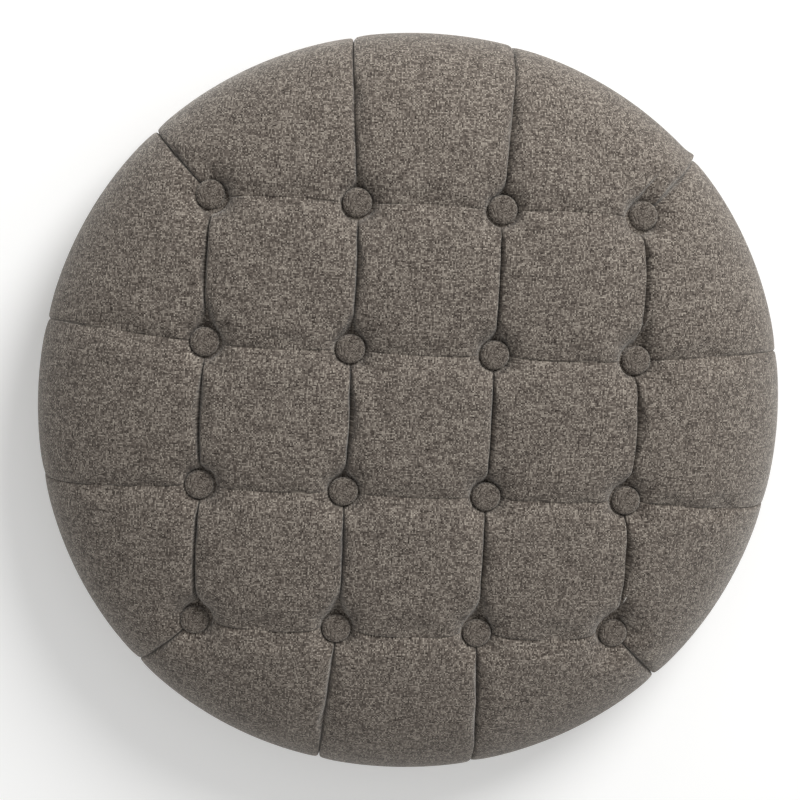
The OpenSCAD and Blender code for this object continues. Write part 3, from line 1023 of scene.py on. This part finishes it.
def button_section():
    """Half section of a button's cloth, above its foot: the dome from its middle out, the
    turned-in edge, and back up inside."""
    steps = np.radians(np.linspace(90, 0, 12))
    thickness = BUTTON_CLOTH

    def dome(radius, low, high):
        return [(radius * math.cos(a) ** DOME_POWER,
                 low + (high - low) * math.sin(a) ** DOME_POWER) for a in steps]

    outside = dome(BUTTON_RADIUS, BUTTON_WAIST, BUTTON_HEIGHT)
    outside[0] = (0, BUTTON_HEIGHT)
    low_edge = [(BUTTON_RADIUS - 0.25 * MM, 0.8 * MM), (BUTTON_RADIUS - 0.9 * MM, 0.2 * MM),
                (BUTTON_RADIUS - 1.8 * MM, 0), (BUTTON_RADIUS - BUTTON_TUCK, 0),
                (BUTTON_RADIUS - BUTTON_TUCK, thickness), (BUTTON_RADIUS - 1.6 * MM, thickness)]
    inside = dome(BUTTON_RADIUS - thickness, BUTTON_WAIST, BUTTON_HEIGHT - thickness)[::-1]
    inside[-1] = (0, BUTTON_HEIGHT - thickness)
    return outside + low_edge + inside


class CUSHION_OT_buttons(bpy.types.Operator):
    """Build the cloth of the covered buttons"""

    bl_idname = "cushion.buttons"
    bl_label = "Buttons"

    def execute(self, context):
        fittings = context.scene.cushion_fittings
        section = button_section()
        pattern = turned("button pattern", section, 64)
        look = context.scene.cushion_cloth
        # The buttons get a copy of the cover's cloth with closer threads, as the cloth is drawn tight,
        # and with its middle and light fibre darker: painted shade over the buttons.
        tight = woven_cloth("melange upholstery cloth drawn tight, with painted shade", look.dark,
                            [0.92 * c for c in look.middle], [0.8 * c for c in look.light],
                            0.85 * look.thread_spacing)
        points = points_of(pattern.data)
        radius, angle = polar(points)
        low = 1 - smooth_step(points[:, 2], 0.2 * MM, 3.2 * MM)
        edge = smooth_step(radius, BUTTON_RADIUS - 4 * MM, BUTTON_RADIUS - 1 * MM)
        rng = np.random.default_rng(11)
        for place in GRID:
            name = place_name("button_cloth", place)
            foot = BUTTON_FEET[place]
            piece = copied(pattern, name, Matrix())
            lay_weave(piece, section, rng.uniform(-0.5, 0.5))
            phase = rng.uniform(0, 2 * math.pi)
            fold = np.cos(fittings.gathers * angle + phase) * 0.5 \
                + np.cos((fittings.gathers * 2 + 3) * angle + 2 * phase) * 0.5
            draw = 1 + (fold - 1) * fittings.gather_depth * low * edge / BUTTON_RADIUS
            shaped = points * np.stack([draw, draw, np.ones(len(points))], 1)
            set_points(piece.data, shaped + np.array(foot))
            finish_piece(piece, "button_cloth", tight, place_name("button", place))
            piece.data.shade_smooth()
        bpy.data.objects.remove(pattern)
        return {"FINISHED"}


class CUSHION_OT_base(bpy.types.Operator):
    """Build the base cloth with its standing seam allowance"""

    bl_idname = "cushion.base"
    bl_label = "Base panel"

    def execute(self, context):
        look = context.scene.cushion_cloth
        thickness = context.scene.cushion_shape.cloth
        outer = SEAM_RADIUS - 0.1 * MM
        flat = np.linspace(0, outer - 3 * MM, 26)
        bend = arc_points((outer - 2 * MM, 2 * MM), 2 * MM, -90, 0, 4)
        up = [(outer, z) for z in np.linspace(4 * MM, SEAM_TOP, 4)]
        back = [(outer - thickness, z) for z in np.linspace(SEAM_TOP, thickness + 2 * MM, 4)]
        section = [(r, 0.0) for r in flat] + bend + up + back \
            + [(outer - thickness - 1.5 * MM, thickness)] + [(r, thickness) for r in flat[::-1]]
        piece = turned("base_panel_cloth", section, 288)
        lay_weave(piece, section)
        # The seam draws the cloth up into small puckers, and the panel lies a little uneven.
        points = points_of(piece.data)
        radius, angle = polar(points)
        wave = 0.5 + 0.5 * gathers(angle, np.random.default_rng(9))
        near_seam = smooth_step(radius, outer - 32 * MM, outer - 6 * MM) \
            * (1 - smooth_step(points[:, 2], 2.5 * MM, 6 * MM))
        points[:, 2] += wave * near_seam * 0.9 * MM
        set_points(piece.data, points)
        lining = woven_cloth("tight plain-woven lining", look.lining_dark,
                             [(a + b) / 2 for a, b in zip(look.lining_dark, look.lining_light)],
                             look.lining_light, look.lining_spacing)
        finish_piece(piece, "base_cloth", lining, "base_panel")
        piece.data.shade_smooth()
        return {"FINISHED"}


def foam_section(filling, grow):
    """Half section of the foam slab, moved out by grow, from the middle of its top."""
    low, high, radius = FOAM_LOW.z, FOAM_HIGH.z, FOAM_HIGH.x
    foot = SEAM_RADIUS - BASE_CLOTH - filling.foot_gap
    step = SEAM_TOP + filling.foot_gap
    slant = grow / 2
    return [(0, high + grow), (radius - filling.trim + slant, high + grow),
            (radius + grow, high - filling.trim + slant),
            (radius + grow, step + filling.undercut - grow), (foot + grow, step - grow),
            (foot + grow, low - grow), (0, low - grow)]


FOAM_STEP = 12 * MM  # length of the mesh steps along the foam's section
POCKET_CLEARANCE, ROOF_CLEARANCE = 1 * MM, 0.05 * MM  # round a washer, and over it


class CUSHION_OT_foam(bpy.types.Operator):
    """Build the foam slab with its needle holes and washer pockets"""

    bl_idname = "cushion.foam"
    bl_label = "Foam core"

    def execute(self, context):
        filling = context.scene.cushion_filling
        corners = foam_section(filling, 0)
        section = []
        for (r0, z0), (r1, z1) in zip(corners[:-1], corners[1:]):
            parts = max(1, round(math.hypot(r1 - r0, z1 - z0) / FOAM_STEP))
            section += [(r0 + (r1 - r0) * k / parts, z0 + (z1 - z0) * k / parts)
                        for k in range(parts)]
        piece = turned("foam_slab", section + [corners[-1]], 96)
        pocket = (WASHER_HIGH.x - WASHER_LOW.x) / 2 + POCKET_CLEARANCE
        pocket_top = WASHER_HIGH.z + ROOF_CLEARANCE
        plug_section = [(0, -5 * MM), (pocket, -5 * MM), (pocket, pocket_top),
                        (filling.hole_radius, pocket_top), (filling.hole_radius, HEIGHT), (0, HEIGHT)]
        plug = turned("plug", plug_section, 32)
        cutters = [copied(plug, "cutter", Matrix.Translation((foot.x, foot.y, 0)))
                   for foot in BUTTON_FEET.values()]
        cutter = join(cutters, "cutter")
        cut = piece.modifiers.new("Holes", "BOOLEAN")
        cut.object = cutter
        cut.operation = "DIFFERENCE"
        soften = piece.modifiers.new("Soft edges", "BEVEL")
        soften.width = 1 * MM
        soften.segments = 2
        soften.limit_method = "ANGLE"
        soften.angle_limit = math.radians(25)
        apply_modifiers(piece)
        for spare in (plug, cutter):
            bpy.data.objects.remove(spare)
        finish_piece(piece, "foam", foam_material(filling.foam), "foam_core")
        return {"FINISHED"}


class CUSHION_OT_wadding(bpy.types.Operator):
    """Build the fibre wadding between the foam and the cover"""

    bl_idname = "cushion.wadding"
    bl_label = "Fibre wrap"

    def execute(self, context):
        filling = context.scene.cushion_filling
        cloth, form = filled_form()
        gap = context.scene.cushion_shape.cloth + 0.6 * MM
        rings = cloth.seam_ring - 2
        count = cloth.ring_point(rings, 0) + len(cloth.loop)
        quads, _ = cloth.faces(rings)
        rng = np.random.default_rng(21)
        outside = (points_of(form) - normals_of(form) * gap)[:count]
        outside -= normals_of(form)[:count] * rng.uniform(0, 0.8 * MM, (count, 1))
        outside[:, 2] = np.maximum(outside[:, 2], BASE_CLOTH + 0.3 * MM)
        # The inner face lies on the foam, at the same share of its outline.
        run = np.linalg.norm(cloth.flat[:count], axis=1)
        angle = np.arctan2(cloth.flat[:count, 1], cloth.flat[:count, 0])
        line = np.array(foam_section(filling, 0.3 * MM)[:-2])
        along = run_along(line)
        reach = run / run.max() * along[-1]
        radius, height = (np.interp(reach, along, line[:, k]) for k in (0, 1))
        inside = np.column_stack([unit(angle) * radius[:, None], height])
        edge = [cloth.ring_point(rings, k) for k in range(len(cloth.loop) + 1)]
        faces = quads + [tuple(v + count for v in quad[::-1]) for quad in quads]
        faces += [(a, a + count, b + count, b) for a, b in zip(edge[:-1], edge[1:])]
        piece = mesh_piece("fibre_wadding", np.concatenate([outside, inside]),
                           [tuple(int(v) for v in face) for face in faces])
        finish_piece(piece, "fibre", wadding_material(filling.wadding), "fibre_wrap")
        piece.data.shade_smooth()
        return {"FINISHED"}


THREAD = 0.3 * MM  # radius of the sewing thread
STITCH_GAP = 0.4 * MM  # gap from stitch to stitch
STITCH_DIP = 0.25 * MM  # how far a stitch's ends dip towards the cloth


class CUSHION_OT_seam(bpy.types.Operator):
    """Build the stitches of the base seam"""

    bl_idname = "cushion.seam"
    bl_label = "Base seam"

    def execute(self, context):
        stitch_length = context.scene.cushion_filling.stitch
        height = (BASE_CLOTH + SEAM_TOP) / 2
        half = stitch_length / 2 - STITCH_GAP / 2
        section = [(0, -half), (0.6 * THREAD, -half * 0.9), (THREAD, -half * 0.6),
                   (THREAD, half * 0.6), (0.6 * THREAD, half * 0.9), (0, half)]
        stitch = turned("stitch", section, 6)
        pattern, faces = points_of(stitch.data), [tuple(f.vertices) for f in stitch.data.polygons]
        bpy.data.objects.remove(stitch)
        points, all_faces = [], []
        for side in (-1, 1):
            radius = SEAM_RADIUS + side * (BASE_CLOTH + THREAD)
            count = round(2 * math.pi * radius / stitch_length)
            for k in range(count):
                a = 2 * math.pi * k / count
                # Each end dips towards the cloth, where the thread goes in.
                dip = -side * STITCH_DIP * (pattern[:, 2] / half) ** 2
                out = radius + pattern[:, 0] + dip
                along = pattern[:, 2]
                base = len(points) * len(pattern)
                points.append(np.stack([
                    out * math.cos(a) - along * math.sin(a),
                    out * math.sin(a) + along * math.cos(a), height + pattern[:, 1]], 1))
                all_faces += [tuple(v + base for v in face) for face in faces]
        piece = mesh_piece("seam_stitches", np.concatenate(points), all_faces)
        activate(piece)
        with edit_mode("SELECT"):
            bpy.ops.mesh.normals_make_consistent(inside=False)
        finish_piece(piece, "thread", twisted_material("twisted polyester sewing thread",
                                                       linear("#59534c"), 0.8 * MM, 0.6),
                     "seam_thread")
        piece.data.shade_smooth()
        return {"FINISHED"}


class CUSHION_OT_fittings(bpy.types.Operator):
    """Give the shells, plates, eyes, twine and washers their finishes"""

    bl_idname = "cushion.fittings"
    bl_label = "Fittings"

    def execute(self, context):
        fittings = context.scene.cushion_fittings
        finishes = {
            "button_shells": metal_material("pressed aluminium", linear("#c9cbcd"), 0.38,
                                            0.6 * MM, 1),
            "button_plates": metal_material("zinc-plated steel sheet", linear("#aeb1b5"), 0.42,
                                            1.5 * MM, 1),
            "button_eyes": metal_material("zinc-plated steel wire", linear("#a5a8ac"), 0.35,
                                          0.5 * MM, 6),
            "twine": twisted_material("waxed twisted twine", fittings.twine, 1.6 * MM, 0.55),
            "washer": washer_material(fittings.washer),
        }
        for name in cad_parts:
            for start, material in finishes.items():
                if name.startswith(start):
                    piece = bpy.data.objects[name]
                    piece.data.materials.clear()
                    piece.data.materials.append(material)
        return {"FINISHED"}


# ---- panel, registration and main ----

OPERATORS = (CUSHION_OT_stage, CUSHION_OT_cover, CUSHION_OT_buttons, CUSHION_OT_base,
             CUSHION_OT_foam, CUSHION_OT_wadding, CUSHION_OT_seam, CUSHION_OT_fittings)
SETTINGS = {"cushion_shape": CushionShape, "cushion_cloth": CushionCloth,
            "cushion_filling": CushionFilling, "cushion_fittings": CushionFittings,
            "cushion_stage": CushionStage}


class CUSHION_PT_panel(bpy.types.Panel):
    """The cushion's pieces and sizes"""

    bl_label = "Tufted floor cushion"
    bl_idname = "CUSHION_PT_panel"
    bl_space_type = "VIEW_3D"
    bl_region_type = "UI"
    bl_category = "Cushion"

    def draw(self, context):
        for name, group in SETTINGS.items():
            box = self.layout.box()
            for key in group.__annotations__:
                box.prop(getattr(context.scene, name), key)
        for operator in OPERATORS:
            self.layout.operator(operator.bl_idname)


CLASSES = (*SETTINGS.values(), *OPERATORS, CUSHION_PT_panel)


def register():
    for cls in CLASSES:
        bpy.utils.register_class(cls)
    for name, group in SETTINGS.items():
        setattr(bpy.types.Scene, name, PointerProperty(type=group))


def unregister():
    for name in SETTINGS:
        delattr(bpy.types.Scene, name)
    for cls in reversed(CLASSES):
        bpy.utils.unregister_class(cls)


def main():
    register()
    for operator in OPERATORS:
        group, name = operator.bl_idname.split(".")
        getattr(getattr(bpy.ops, group), name)()


if __name__ == "__main__":
    main()
